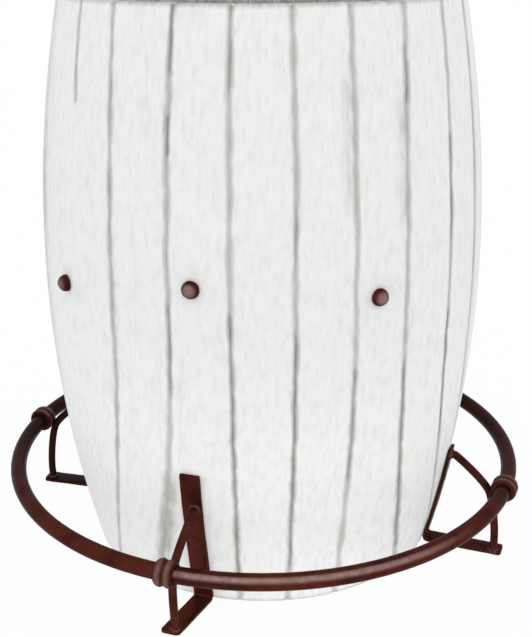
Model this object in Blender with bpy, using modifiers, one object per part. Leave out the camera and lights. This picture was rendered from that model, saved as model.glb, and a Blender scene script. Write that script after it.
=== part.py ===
# Barrel bar: a hoopless whitewashed barrel with a round foot rail on four brackets.
# Metres, +Z up. The origin is on the floor, on the barrel's axis, and the front faces -Y.
# Azimuths are degrees round the barrel from the front, growing towards +X.

import math
from collections import namedtuple

import bmesh
import bpy
from mathutils import Matrix, Vector

# Barrel
BARREL_HEIGHT = 0.875
BELLY_RADIUS = 0.349
END_RADIUS = 0.297
STAVE_THICKNESS = 0.026
STAVE_SHARES = (1.00, 0.98, 0.945, 1.075, 1.00)
STAVE_SETS = 5
STAVE_GAP = 0.0008
STAVE_CORNER_EASE = 0.005
STAVE_EDGE_EASE = 0.0025
CHIME_BEVEL = 0.008

# Below a height the joints between the staves fan out sideways: how far at the floor, and for each side of
# the front the azimuth where the fanning begins and how much further round it takes to be full
FAN_HEIGHT = 0.45
FAN_ANGLE = 17.0
FAN_LEFT = (6.0, 23.0)
FAN_RIGHT = (18.0, 28.0)
# The same above another height, up to the rim
TOP_FAN_HEIGHT = 0.60
TOP_FAN_ANGLE = 2.4
TOP_FAN = (22.0, 15.0)

# Heads, which sit in the croze grooves of the staves
HEAD_THICKNESS = 0.022
HEAD_RECESS_TOP = 0.034
HEAD_RECESS_BOTTOM = 0.036
HEAD_TONGUE = 0.0075
HEAD_BEVEL_WIDTH = 0.011
HEAD_BOARD_SHARES = (1.00, 1.10, 1.04, 0.96, 1.02)
HEAD_BOARD_GAP = 0.0006
HEAD_TURN = 12.0
CROZE_DEPTH = 0.005

# Wooden ring inside the belly, and the domed nails that hold about every third stave to it
RING_HEIGHT = 0.510
RING_WIDTH = 0.066
RING_THICKNESS = 0.030
NAIL_HEAD_RADIUS = 0.0127
NAIL_HEAD_RISE = 0.0145
NAIL_HEAD_RIM = 0.0015
NAIL_SHANK_RADIUS = 0.003
NAIL_LENGTH = 0.048
NAIL_POINT = 0.008
# Each nail: which stave from the front one, its rise above the ring's middle, its turn in degrees
NAILS = (
    (-4, -0.016, 3.1),
    (-1, 0.017, -1.5),
    (2, -0.002, -1.3),
    (7, 0.010, 0.6),
    (10, -0.008, -0.8),
    (13, 0.004, 1.1),
    (16, -0.012, 0.2),
    (18, 0.012, -0.5),
)

# Foot rail
RAIL_RADIUS = 0.4276
RAIL_HEIGHT = 0.127
RAIL_TUBE_RADIUS = 0.0134
RAIL_TUBE_WALL = 0.0026
RAIL_END_GAP = 0.001

# Collars on the rail
COLLAR_LENGTH = 0.030
COLLAR_RADIUS = 0.0215
COLLAR_GROOVE_DEPTH = 0.0022
COLLAR_LIP = 0.0032
COLLAR_BEAD_SPACING = 0.013

# Brackets
BAR_WIDTH = 0.032
BAR_THICKNESS = 0.006
BAR_HEEL_RADIUS = 0.009
BAR_TIP_CHAMFER = 0.004
ROD_RADIUS = 0.0064
ROD_SEAT_ANGLE = 205.0
ROD_FOOT_LEAN = 0.10
ROD_BOW = 0.22
# How much more a rod heads for the rail than straight out of the bar, where it leaves the bar
ROD_LEAVE = 3.0
SCREW_HEAD_RADIUS = 0.0065
SCREW_HEAD_DEPTH = 0.0038
SCREW_SHANK_RADIUS = 0.0032
SCREW_LENGTH = 0.026
SCREW_HEIGHT = 0.125
# Each bracket: azimuth and top of its bar, turn of the foot in plan, how far the tip of the foot is past the
# rail's centre line, azimuth at which its rod crosses the rail, height of the rod's top, how far the rod's
# foot stands back from the tip, and how far to the right of the crossing the rod's top and foot are
Bracket = namedtuple(
    "Bracket", "name azimuth top foot_turn tip_past_rail rod_azimuth rod_top rod_inset top_aside foot_aside"
)
BRACKETS = (
    Bracket("left", -104.5, 0.183, 0.0, 0.0036, -104.5, 0.174, 0.012, 0.0, 0.0),
    Bracket("front", -18.4, 0.242, -9.0, -0.0216, -19.1, 0.184, 0.009, 0.009, -0.004),
    Bracket("right", 68.6, 0.181, 0.0, 0.0064, 67.4, 0.174, 0.014, 0.0, 0.0),
    Bracket("back", 160.0, 0.183, 0.0, -0.0036, 160.0, 0.174, 0.013, 0.0, 0.0),
)

# Left between pieces that touch on the real object
FIT_GAP = 0.0003

# How finely shapes are divided
STAVE_HEIGHT_STEPS = 10
STAVE_INNER_STEPS_ABOVE = 2
STAVE_INNER_STEPS_BELOW = 5
STAVE_WIDTH_STEPS = 2
HEAD_STEPS = 40
RING_STEPS = 40
RING_HEIGHT_STEPS = 2
NAIL_STEPS = 12
NAIL_DOME_STEPS = 3
SCREW_STEPS = 10
COLLAR_STEPS = 16
SEAT_STEPS = 8
BAR_STEPS = 5
HEEL_STEPS = 3
RAIL_STEP_DEGREES = 6.0
RAIL_RESOLUTION = 4
BORE_RESOLUTION = 2
ROD_STEPS = 7
ROD_RESOLUTION = 2
SHARP_ANGLE = 35.0
MERGE_DISTANCE = 0.00001
MATCH_DISTANCE = 0.00005

# Colours: red, green, blue; then roughness and metallic
WHITEWASHED_OAK = ((0.86, 0.86, 0.85), 0.75, 0.0)
BRONZED_IRON = ((0.070, 0.018, 0.016), 0.38, 0.6)
BARE_OAK = ((0.36, 0.25, 0.16), 0.8, 0.0)
# Boards differ a little in shade: by this much, and this far along a sine from one to the next
BOARD_TINT = 0.015
BOARD_TINT_TURN = 2.4

STAVE_COUNT = len(STAVE_SHARES) * STAVE_SETS
CROZE_WIDTH = HEAD_TONGUE + 2 * FIT_GAP
TOP_HEAD_HEIGHT = BARREL_HEIGHT - HEAD_RECESS_TOP - HEAD_THICKNESS / 2
BOTTOM_HEAD_HEIGHT = HEAD_RECESS_BOTTOM + HEAD_THICKNESS / 2


def outer_radius(height):
    """Radius of the barrel's outside, a parabola that is widest at half height."""
    share = 2 * height / BARREL_HEIGHT - 1
    return BELLY_RADIUS - (BELLY_RADIUS - END_RADIUS) * share * share


def outer_slope(height):
    """How fast that radius grows with height."""
    share = 2 * height / BARREL_HEIGHT - 1
    return -4 * (BELLY_RADIUS - END_RADIUS) * share / BARREL_HEIGHT


def inner_radius(height):
    return outer_radius(height) - STAVE_THICKNESS


def smooth_step(share):
    share = min(max(share, 0.0), 1.0)
    return share * share * (3 - 2 * share)


def fan_share(aside, span):
    """How much of the fanning an azimuth takes part in: none in front, all of it beside, none behind."""
    start, rise = span
    full = start + rise
    return smooth_step((aside - start) / rise) - smooth_step((aside - full) / (180 - full))


def fanned(azimuth, height):
    """Azimuth at a height of a line that runs down the staves from an azimuth at the belly."""
    side = (azimuth + 180) % 360 - 180
    drop = max(0.0, 1 - height / FAN_HEIGHT)
    lift = max(0.0, (height - TOP_FAN_HEIGHT) / (BARREL_HEIGHT - TOP_FAN_HEIGHT))
    low = FAN_ANGLE * drop * drop * fan_share(abs(side), FAN_RIGHT if side > 0 else FAN_LEFT)
    high = TOP_FAN_ANGLE * lift * lift * fan_share(abs(side), TOP_FAN)
    return azimuth + math.copysign(low + high, side)


def stave_widths():
    """Width of each stave in degrees."""
    whole = sum(STAVE_SHARES) * STAVE_SETS
    return [share * 360 / whole for share in STAVE_SHARES] * STAVE_SETS


def stave_layout():
    """Centre azimuth and width of every stave; the first is centred on the front."""
    widths = stave_widths()
    layout = []
    centre = 0.0
    for index, width in enumerate(widths):
        layout.append((centre, width))
        centre += (width + widths[(index + 1) % STAVE_COUNT]) / 2
    return layout


def stave_lines(width):
    """Angles from a stave's centre line to its edges and the lines that divide it, in degrees."""
    edge = width / 2 - math.degrees(STAVE_GAP / (2 * BELLY_RADIUS))
    eased = edge - math.degrees(STAVE_EDGE_EASE / BELLY_RADIUS)
    return [-edge] + spread(-eased, eased, STAVE_WIDTH_STEPS) + [edge]


def within_staves(radius, height):
    """Radius of a round piece that just clears the flats of the staves, whose corners are at a radius."""
    widest = 0.0
    for centre, width in stave_layout():
        edges = [fanned(centre + line, height) for line in stave_lines(width)]
        widest = max([widest] + [right - left for left, right in zip(edges, edges[1:])])
    return radius * math.cos(math.radians(widest / 2)) - FIT_GAP


def spread(low, high, steps):
    """Evenly spaced values from low to high, both included."""
    return [low + (high - low) * index / steps for index in range(steps + 1)]


def turn_to(azimuth):
    """Rotation that takes local +X outwards and local +Y along the barrel at an azimuth."""
    return Matrix.Rotation(math.radians(azimuth - 90), 4, "Z")


def on_barrel(azimuth, height, lift=0.0):
    """Place on the barrel's skin, with local +Z straight out of it."""
    slope = outer_slope(height)
    outward = Vector((1, 0, -slope)).normalized()
    upward = Vector((slope, 0, 1)).normalized()
    along = upward.cross(outward)
    place = Vector((outer_radius(height), 0, height)) + outward * lift
    local = Matrix((along, upward, outward)).transposed().to_4x4()
    return turn_to(azimuth) @ Matrix.Translation(place) @ local


def clear_scene():
    for item in list(bpy.data.objects):
        bpy.data.objects.remove(item, do_unlink=True)


def new_collection(name):
    collection = bpy.data.collections.new(name)
    bpy.context.scene.collection.children.link(collection)
    return collection


def new_material(name, look, tint=0.0):
    (red, green, blue), roughness, metallic = look
    material = bpy.data.materials.new(name)
    material.use_nodes = True
    shader = material.node_tree.nodes["Principled BSDF"]
    shader.inputs["Base Color"].default_value = (red + tint, green + tint, blue + tint, 1)
    shader.inputs["Roughness"].default_value = roughness
    shader.inputs["Metallic"].default_value = metallic
    return material


def add_part(name, mesh, look, tint=0.0):
    """Object in the part's collection, with a material of its own, shaded smooth but for sharp edges."""
    mesh.materials.clear()
    mesh.materials.append(new_material(name, look, tint))
    mesh.shade_smooth()
    mesh.set_sharp_from_angle(angle=math.radians(SHARP_ANGLE))
    part = bpy.data.objects.new(name, mesh)
    parts.objects.link(part)
    return part


def add_cutter(name, mesh):
    cutter = bpy.data.objects.new(name, mesh)
    cutter.hide_render = True
    cutter.display_type = "WIRE"
    cutters.objects.link(cutter)
    return cutter


def cut(part, cutter, operation="DIFFERENCE"):
    boolean = part.modifiers.new(cutter.name, "BOOLEAN")
    boolean.operation = operation
    boolean.object = cutter
    return boolean


def evaluated_mesh(item):
    """Mesh of an object with its modifiers or its bevel, welded; the object itself is removed."""
    bpy.context.view_layer.update()
    graph = bpy.context.evaluated_depsgraph_get()
    mesh = bpy.data.meshes.new_from_object(item.evaluated_get(graph))
    bm = bmesh.new()
    bm.from_mesh(mesh)
    bmesh.ops.remove_doubles(bm, verts=bm.verts, dist=MERGE_DISTANCE)
    bmesh.ops.recalc_face_normals(bm, faces=bm.faces)
    bm.to_mesh(mesh)
    bm.free()
    bpy.data.objects.remove(item, do_unlink=True)
    return mesh


def turned_mesh(name, profile, steps, closed=False):
    """Solid turned about Z from (radius, height) points that run down its outer side."""
    mesh = bpy.data.meshes.new(name)
    points = [(radius, 0, height) for radius, height in profile]
    edges = [(index, index + 1) for index in range(len(points) - 1)]
    if closed:
        edges.append((len(points) - 1, 0))
    mesh.from_pydata(points, edges, [])
    blank = bpy.data.objects.new(name, mesh)
    cutters.objects.link(blank)
    screw = blank.modifiers.new("turn", "SCREW")
    screw.steps = steps
    screw.render_steps = steps
    screw.use_merge_vertices = True
    screw.merge_threshold = MERGE_DISTANCE
    return evaluated_mesh(blank)


def tube_mesh(name, points, radius, resolution):
    """Round bar or tube blank along a line of points."""
    curve = bpy.data.curves.new(name, "CURVE")
    curve.dimensions = "3D"
    curve.bevel_depth = radius
    curve.bevel_resolution = resolution
    curve.use_fill_caps = True
    spline = curve.splines.new("POLY")
    spline.points.add(len(points) - 1)
    for point, place in zip(spline.points, points):
        point.co = (*place, 1)
    blank = bpy.data.objects.new(name, curve)
    cutters.objects.link(blank)
    return evaluated_mesh(blank)


def gathered_mesh(name, mesh, places):
    """One mesh that holds a copy of another at each place."""
    bm = bmesh.new()
    for place in places:
        start = len(bm.verts)
        bm.from_mesh(mesh)
        bm.verts.ensure_lookup_table()
        bmesh.ops.transform(bm, matrix=place, verts=bm.verts[start:])
    whole = bpy.data.meshes.new(name)
    bm.to_mesh(whole)
    bm.free()
    return whole


def croze_points(height):
    """Groove that a head sits in, from its upper lip to its lower one."""
    high = height + CROZE_WIDTH / 2
    low = height - CROZE_WIDTH / 2
    return [
        (inner_radius(high), high),
        (inner_radius(high) + CROZE_DEPTH, high),
        (inner_radius(low) + CROZE_DEPTH, low),
        (inner_radius(low), low),
    ]


def stave_profile():
    """Section of a stave on its centre line: up its outside and down its inside."""
    outside = [(outer_radius(height), height) for height in spread(0, BARREL_HEIGHT, STAVE_HEIGHT_STEPS)]
    high = BARREL_HEIGHT - CHIME_BEVEL
    top = [(inner_radius(BARREL_HEIGHT) + CHIME_BEVEL, BARREL_HEIGHT), (inner_radius(high), high)]
    low = CHIME_BEVEL
    bottom = [(inner_radius(low), low), (inner_radius(0) + CHIME_BEVEL, 0)]
    above = spread(TOP_HEAD_HEIGHT, RING_HEIGHT + RING_WIDTH / 2, STAVE_INNER_STEPS_ABOVE)[1:]
    below = spread(RING_HEIGHT - RING_WIDTH / 2, BOTTOM_HEAD_HEIGHT, STAVE_INNER_STEPS_BELOW)[:-1]
    inside = [(inner_radius(height), height) for height in above + [RING_HEIGHT] + below]
    return outside + top + croze_points(TOP_HEAD_HEIGHT) + inside + croze_points(BOTTOM_HEAD_HEIGHT) + bottom


def shape_stave(bm, azimuth, width):
    """Eases the long edges and top corners of a spun stave, and fans it with its neighbours."""
    lines = stave_lines(width)
    for vert in bm.verts:
        angle = math.degrees(math.atan2(vert.co.y, vert.co.x))
        index = round((angle / (lines[-1] - lines[0]) + 0.5) * (len(lines) - 1))
        radius = math.hypot(vert.co.x, vert.co.y)
        height = vert.co.z
        if index in (0, len(lines) - 1):
            if abs(radius - outer_radius(height)) < MATCH_DISTANCE:
                radius -= STAVE_EDGE_EASE
            if height > BARREL_HEIGHT - MATCH_DISTANCE:
                height -= STAVE_CORNER_EASE
        turn = math.radians(fanned(azimuth + lines[index], height) - azimuth)
        vert.co = (radius * math.cos(turn), radius * math.sin(turn), height)


def stave_mesh(name, azimuth, width):
    """Stave centred on local +X: its section, spun through its width and shaped."""
    lines = stave_lines(width)
    bm = bmesh.new()
    ring = [bm.verts.new((radius, 0, height)) for radius, height in stave_profile()]
    outline = bm.faces.new(ring)
    outline.normal_update()
    section = bmesh.ops.triangulate(bm, faces=[outline])["faces"]
    bmesh.ops.rotate(bm, verts=bm.verts, matrix=Matrix.Rotation(math.radians(lines[0]), 3, "Z"))
    bmesh.ops.spin(
        bm,
        geom=section,
        cent=(0, 0, 0),
        axis=(0, 0, 1),
        angle=math.radians(lines[-1] - lines[0]),
        steps=len(lines) - 1,
        use_duplicate=False,
    )
    bmesh.ops.remove_doubles(bm, verts=bm.verts, dist=MERGE_DISTANCE)
    shape_stave(bm, azimuth, width)
    bmesh.ops.recalc_face_normals(bm, faces=bm.faces)
    mesh = bpy.data.meshes.new(name)
    bm.to_mesh(mesh)
    bm.free()
    return mesh


def covers(azimuth, width, spot, height, reach):
    """Whether a stave comes within reach of an azimuth at a height."""
    low = fanned(azimuth - width / 2, height)
    high = fanned(azimuth + width / 2, height)
    apart = abs(((low + high) / 2 - spot + 180) % 360 - 180)
    return apart < (high - low) / 2 + reach


def nail_profile():
    """Domed nail that stands on Z = 0 with its shank below."""
    dome = []
    for angle in spread(0, math.pi / 2, NAIL_DOME_STEPS):
        rise = NAIL_HEAD_RIM + (NAIL_HEAD_RISE - NAIL_HEAD_RIM) * math.cos(angle)
        dome.append((NAIL_HEAD_RADIUS * math.sin(angle), rise))
    return dome + [
        (NAIL_HEAD_RADIUS, 0),
        (NAIL_SHANK_RADIUS, 0),
        (NAIL_SHANK_RADIUS, NAIL_POINT - NAIL_LENGTH),
        (0, -NAIL_LENGTH),
    ]


def nail_places():
    """Where each nail stands on the barrel."""
    layout = stave_layout()
    places = []
    for stave, rise, turn in NAILS:
        centre, _ = layout[stave % STAVE_COUNT]
        places.append(on_barrel(centre + turn, RING_HEIGHT + rise, FIT_GAP))
    return places


def screw_profile():
    """Countersunk screw just below Z = 0, the face it is flush with."""
    return [
        (0, -FIT_GAP),
        (SCREW_HEAD_RADIUS, -FIT_GAP),
        (SCREW_SHANK_RADIUS, -SCREW_HEAD_DEPTH),
        (SCREW_SHANK_RADIUS, SCREW_SHANK_RADIUS - SCREW_LENGTH),
        (0, -SCREW_LENGTH),
    ]


def screw_places():
    """Where each bracket's screw sits on the face of its bar."""
    return [on_barrel(bracket.azimuth, SCREW_HEIGHT, FIT_GAP + BAR_THICKNESS) for bracket in BRACKETS]


def hole_profile(profile, above):
    """Clearance hole round the shank and the countersink of a fastener, open above it."""
    wide = [(radius + FIT_GAP, height) for radius, height in profile[1:-1]]
    return [(0, above), (wide[0][0], above)] + wide + [(0, profile[-1][1] - FIT_GAP)]


def build_fastener_cutters():
    """Clearance holes for the nails and the screws."""
    shank = [(0, 0)] + nail_profile()[-3:]
    nail_hole = turned_mesh("nail_hole", hole_profile(shank, NAIL_HEAD_RISE), NAIL_STEPS)
    screw_hole = turned_mesh("screw_hole", hole_profile(screw_profile(), BAR_THICKNESS), SCREW_STEPS)
    nail_holes = add_cutter("nail_holes", gathered_mesh("nail_holes", nail_hole, nail_places()))
    screw_holes = add_cutter("screw_holes", gathered_mesh("screw_holes", screw_hole, screw_places()))
    return nail_holes, screw_holes


def build_staves(nail_holes, screw_holes):
    screw_reach = math.degrees((SCREW_SHANK_RADIUS + FIT_GAP) / END_RADIUS)
    nailed = [stave % STAVE_COUNT for stave, _, _ in NAILS]
    for index, (azimuth, width) in enumerate(stave_layout()):
        name = f"stave_{index + 1:02d}"
        tint = BOARD_TINT * math.sin(BOARD_TINT_TURN * index)
        stave = add_part(name, stave_mesh(name, azimuth, width), WHITEWASHED_OAK, tint)
        stave.rotation_euler.z = math.radians(azimuth - 90)
        if index in nailed:
            cut(stave, nail_holes)
        if any(covers(azimuth, width, bracket.azimuth, SCREW_HEIGHT, screw_reach) for bracket in BRACKETS):
            cut(stave, screw_holes)


def head_profile(height):
    """Round head with a thin tongue for the croze groove; its radius comes from the staves there."""
    edges = (height + CROZE_WIDTH / 2, height - CROZE_WIDTH / 2)
    rim = min(within_staves(inner_radius(edge) + CROZE_DEPTH, edge) for edge in edges)
    shoulder = rim - CROZE_DEPTH - FIT_GAP
    upper = [
        (0, HEAD_THICKNESS / 2),
        (shoulder - HEAD_BEVEL_WIDTH, HEAD_THICKNESS / 2),
        (shoulder, HEAD_TONGUE / 2),
        (rim, HEAD_TONGUE / 2),
    ]
    return upper + [(radius, -level) for radius, level in reversed(upper)]


def build_top_head():
    """Head of boards: a turned disc for each, cut down to its board by a box."""
    profile = head_profile(TOP_HEAD_HEIGHT)
    rim = max(radius for radius, level in profile)
    whole = sum(HEAD_BOARD_SHARES)
    left = -rim
    for index, share in enumerate(HEAD_BOARD_SHARES):
        name = f"top_head_board_{index + 1}"
        last = index == len(HEAD_BOARD_SHARES) - 1
        right = left + 2 * rim * share / whole
        low = left + HEAD_BOARD_GAP / 2 if index else -2 * rim
        high = 2 * rim if last else right - HEAD_BOARD_GAP / 2
        left = right
        bpy.ops.mesh.primitive_cube_add(size=1)
        cube = bpy.context.active_object
        cube.data.transform(
            Matrix.Translation(((low + high) / 2, 0, 0))
            @ Matrix.Diagonal((high - low, 4 * rim, 2 * HEAD_THICKNESS, 1))
        )
        box = add_cutter(f"{name}_box", cube.data.copy())
        bpy.data.objects.remove(cube, do_unlink=True)
        tint = BOARD_TINT * math.sin(BOARD_TINT_TURN * index)
        board = add_part(name, turned_mesh(name, profile, HEAD_STEPS), WHITEWASHED_OAK, tint)
        for item in (box, board):
            item.location.z = TOP_HEAD_HEIGHT
            item.rotation_euler.z = math.radians(HEAD_TURN)
        cut(board, box, "INTERSECT")


def build_bottom_head():
    disc = turned_mesh("bottom_head", head_profile(BOTTOM_HEAD_HEIGHT), HEAD_STEPS)
    head = add_part("bottom_head", disc, BARE_OAK)
    head.location.z = BOTTOM_HEAD_HEIGHT


def build_inner_ring(nail_holes):
    levels = spread(RING_HEIGHT + RING_WIDTH / 2, RING_HEIGHT - RING_WIDTH / 2, RING_HEIGHT_STEPS)
    profile = [(within_staves(inner_radius(height), height), height) for height in levels]
    inside = profile[-1][0] - RING_THICKNESS
    profile += [(inside, levels[-1]), (inside, levels[0])]
    ring = add_part("inner_ring", turned_mesh("inner_ring", profile, RING_STEPS, closed=True), BARE_OAK)
    cut(ring, nail_holes)


def build_nails():
    for index, place in enumerate(nail_places()):
        name = f"stave_nail_{index + 1}"
        nail = add_part(name, turned_mesh(name, nail_profile(), NAIL_STEPS), BRONZED_IRON)
        nail.matrix_world = place


def collar_valley():
    return COLLAR_RADIUS - COLLAR_GROOVE_DEPTH


def collar_bore():
    """Bore of a collar whose flats clear the rail's tube, which bends away inside it."""
    drift = COLLAR_LENGTH / 2 * math.tan(math.radians(RAIL_STEP_DEGREES / 2))
    return (RAIL_TUBE_RADIUS + drift + FIT_GAP) / math.cos(math.pi / COLLAR_STEPS)


def seat_distance():
    """From the rail's centre line to a rod's, where the rod lies in the collar's groove."""
    reach = ROD_RADIUS + FIT_GAP
    slope = COLLAR_GROOVE_DEPTH / (COLLAR_BEAD_SPACING / 2)
    across = spread(0, min(reach, COLLAR_BEAD_SPACING / 2), SEAT_STEPS)
    return max(collar_valley() + slope * aside + math.sqrt(reach * reach - aside * aside) for aside in across)


def bezier(points, steps):
    """Points along a cubic curve, its start left out."""
    start, first, second, end = points
    line = []
    for step in range(1, steps + 1):
        share = step / steps
        rest = 1 - share
        line.append(
            start * rest**3
            + first * (3 * rest * rest * share)
            + second * (3 * rest * share * share)
            + end * share**3
        )
    return line


def rod_line(bracket):
    """Bowed rod: out of the bar, across the collar's groove, down onto the foot."""
    outward = Vector((1, 0, -outer_slope(bracket.rod_top))).normalized()
    skin = Vector((outer_radius(bracket.rod_top), bracket.top_aside, bracket.rod_top))
    top = skin + outward * (BAR_THICKNESS + 2 * FIT_GAP)
    angle = math.radians(ROD_SEAT_ANGLE)
    away = Vector((math.cos(angle), 0, math.sin(angle)))
    seat = Vector((RAIL_RADIUS, 0, RAIL_HEIGHT)) + away * seat_distance()
    past = Vector((-away.z, 0, away.x))
    foot_out = RAIL_RADIUS + bracket.tip_past_rail - bracket.rod_inset
    foot = Vector((foot_out, bracket.foot_aside, BAR_THICKNESS + FIT_GAP))
    start = top + outward * ROD_RADIUS
    end = foot + Vector((0, 0, ROD_RADIUS))
    leave = (outward + (seat - start).normalized() * ROD_LEAVE).normalized()
    lean = Vector((ROD_FOOT_LEAN, 0, 1))
    upper = (seat - start).length * ROD_BOW
    lower = (seat - end).length * ROD_BOW
    line = [top, start]
    line += bezier((start, start + leave * upper, seat - past * upper, seat), ROD_STEPS)
    line += bezier((seat, seat + past * lower, end + lean * lower, end), ROD_STEPS)
    return line + [foot]


def bar_rows(bracket):
    """Back face of a bracket's bar from its top to its tip: (out, aside, up, half width)."""
    half = BAR_WIDTH / 2
    corner = Vector((outer_radius(0) + FIT_GAP, 0))
    up = Vector((outer_slope(0), 1)).normalized()
    out = Vector((1, 0))
    turn = up.angle(out)
    reach = BAR_HEEL_RADIUS / math.tan(turn / 2)
    centre = corner + (up + out).normalized() * (BAR_HEEL_RADIUS / math.sin(turn / 2))
    rows = []
    for height in spread(bracket.top, (corner + up * reach).y, BAR_STEPS)[:-1]:
        rows.append((outer_radius(height) + FIT_GAP, 0, height, half))
    for share in spread(0, 1, HEEL_STEPS):
        angle = math.atan2(up.x, -up.y) + share * (math.pi - turn)
        spoke = Vector((math.cos(angle), math.sin(angle))) * BAR_HEEL_RADIUS
        rows.append((centre.x + spoke.x, 0, centre.y + spoke.y, half))
    tip = RAIL_RADIUS + bracket.tip_past_rail
    for end, narrowed in ((tip - BAR_TIP_CHAMFER, half), (tip, half - BAR_TIP_CHAMFER)):
        aside = (end - centre.x) * math.tan(math.radians(bracket.foot_turn))
        rows.append((end, aside, 0, narrowed))
    return rows


def build_bar(bracket, screw_holes):
    """Flat bar down the barrel and out along the floor: a ribbon on its back face, thickened outwards."""
    name = f"bracket_bar_{bracket.name}"
    rows = bar_rows(bracket)
    points = []
    for out, aside, up, half in rows:
        points.append((out, aside - half, up))
        points.append((out, aside + half, up))
    faces = [(2 * row, 2 * row + 1, 2 * row + 3, 2 * row + 2) for row in range(len(rows) - 1)]
    mesh = bpy.data.meshes.new(name)
    mesh.from_pydata(points, [], faces)
    bar = add_part(name, mesh, BRONZED_IRON)
    bar.rotation_euler.z = math.radians(bracket.azimuth - 90)
    thickness = bar.modifiers.new("thickness", "SOLIDIFY")
    thickness.thickness = BAR_THICKNESS
    thickness.offset = -1
    thickness.use_even_offset = True
    cut(bar, screw_holes)


def build_rod(bracket):
    name = f"bracket_rod_{bracket.name}"
    rod = add_part(name, tube_mesh(name, rod_line(bracket), ROD_RADIUS, ROD_RESOLUTION), BRONZED_IRON)
    rod.rotation_euler.z = math.radians(bracket.rod_azimuth - 90)


def build_collar(bracket):
    """Turned sleeve on the rail: two beads with a groove between, and a lip at each end."""
    name = f"rail_collar_{bracket.name}"
    half = COLLAR_LENGTH / 2
    bead = COLLAR_BEAD_SPACING / 2
    neck = half - COLLAR_LIP
    bore = collar_bore()
    upper = [
        (bore + COLLAR_LIP / 2, half),
        (bore + COLLAR_LIP, half - COLLAR_LIP / 2),
        (bore + COLLAR_LIP, neck),
        (COLLAR_RADIUS - COLLAR_GROOVE_DEPTH / 2, (bead + neck) / 2),
        (COLLAR_RADIUS, bead),
    ]
    lower = [(radius, -height) for radius, height in reversed(upper)]
    profile = upper + [(collar_valley(), 0)] + lower + [(bore, -half), (bore, half)]
    collar = add_part(name, turned_mesh(name, profile, COLLAR_STEPS, closed=True), BRONZED_IRON)
    middle = Matrix.Translation((RAIL_RADIUS, 0, RAIL_HEIGHT))
    collar.matrix_world = turn_to(bracket.rod_azimuth) @ middle @ Matrix.Rotation(-math.pi / 2, 4, "X")


def rail_line(start, end):
    """Points on the rail's centre line between two azimuths."""
    steps = max(2, round((end - start) / RAIL_STEP_DEGREES))
    return [turn_to(azimuth) @ Vector((RAIL_RADIUS, 0, RAIL_HEIGHT)) for azimuth in spread(start, end, steps)]


def build_rail():
    """Four bent tubes, each from the middle of one bracket's collar to the next."""
    slant = RAIL_TUBE_RADIUS * math.tan(math.radians(RAIL_STEP_DEGREES / 2))
    margin = math.degrees((slant + RAIL_END_GAP / 2) / RAIL_RADIUS)
    for index, bracket in enumerate(BRACKETS):
        following = BRACKETS[(index + 1) % len(BRACKETS)]
        start = bracket.rod_azimuth
        end = following.rod_azimuth + (360 if following.rod_azimuth < start else 0)
        name = f"rail_{bracket.name}_to_{following.name}"
        blank = tube_mesh(name, rail_line(start + margin, end - margin), RAIL_TUBE_RADIUS, RAIL_RESOLUTION)
        tube = add_part(name, blank, BRONZED_IRON)
        bore_name = f"{name}_bore"
        bore_line = rail_line(start - margin, end + margin)
        bore = tube_mesh(bore_name, bore_line, RAIL_TUBE_RADIUS - RAIL_TUBE_WALL, BORE_RESOLUTION)
        cut(tube, add_cutter(bore_name, bore))


def build_screw(bracket, place):
    name = f"bracket_screw_{bracket.name}"
    screw = add_part(name, turned_mesh(name, screw_profile(), SCREW_STEPS), BRONZED_IRON)
    screw.matrix_world = place


def build_brackets(screw_holes):
    for bracket, screw_place in zip(BRACKETS, screw_places()):
        build_bar(bracket, screw_holes)
        build_rod(bracket)
        build_collar(bracket)
        build_screw(bracket, screw_place)


clear_scene()
parts = new_collection("barrel_bar")
cutters = new_collection("cutters")
nail_cutter, screw_cutter = build_fastener_cutters()
build_staves(nail_cutter, screw_cutter)
build_top_head()
build_bottom_head()
build_inner_ring(nail_cutter)
build_nails()
build_rail()
build_brackets(screw_cutter)
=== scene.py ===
import math

import bmesh
import bpy
import numpy
from mathutils import Matrix, Vector, noise


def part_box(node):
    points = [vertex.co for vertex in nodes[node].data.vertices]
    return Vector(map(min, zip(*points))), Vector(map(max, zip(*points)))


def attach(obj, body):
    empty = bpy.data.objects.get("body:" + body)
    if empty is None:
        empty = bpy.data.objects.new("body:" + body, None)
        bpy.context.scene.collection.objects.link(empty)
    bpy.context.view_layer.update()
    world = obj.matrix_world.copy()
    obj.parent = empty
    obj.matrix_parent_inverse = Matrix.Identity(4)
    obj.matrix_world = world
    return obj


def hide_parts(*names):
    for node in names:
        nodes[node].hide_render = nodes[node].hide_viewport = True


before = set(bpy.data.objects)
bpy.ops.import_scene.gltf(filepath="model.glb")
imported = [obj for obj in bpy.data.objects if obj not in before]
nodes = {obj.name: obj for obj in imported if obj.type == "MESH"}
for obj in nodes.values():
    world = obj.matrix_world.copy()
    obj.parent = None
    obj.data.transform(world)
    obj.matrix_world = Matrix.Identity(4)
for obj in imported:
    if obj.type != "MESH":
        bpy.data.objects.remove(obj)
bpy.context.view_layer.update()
print("frame loaded,", len(nodes), "nodes")


def addToScene(thing):
    bpy.context.scene.collection.objects.link(thing)


# Camera
cameraSettings = {
    "place": (0, -1.617, 0.957),
    "pitchDown": 25.567,
    "roll": -0.229,
    "lens": 57.47,
    "shift": (0.0041, 0.1515),
}


def addCamera(settings):
    data = bpy.data.cameras.new("photoCamera")
    data.lens = settings["lens"]
    data.shift_x, data.shift_y = settings["shift"]
    camera = bpy.data.objects.new("photoCamera", data)
    tilt = Matrix.Rotation(math.radians(90 - settings["pitchDown"]), 4, "X")
    roll = Matrix.Rotation(math.radians(settings["roll"]), 4, "Z")
    camera.matrix_world = Matrix.Translation(settings["place"]) @ tilt @ roll
    addToScene(camera)
    bpy.context.scene.camera = camera


addCamera(cameraSettings)
bpy.context.scene.view_settings.view_transform = "Standard"
print("camera placed")


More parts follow.
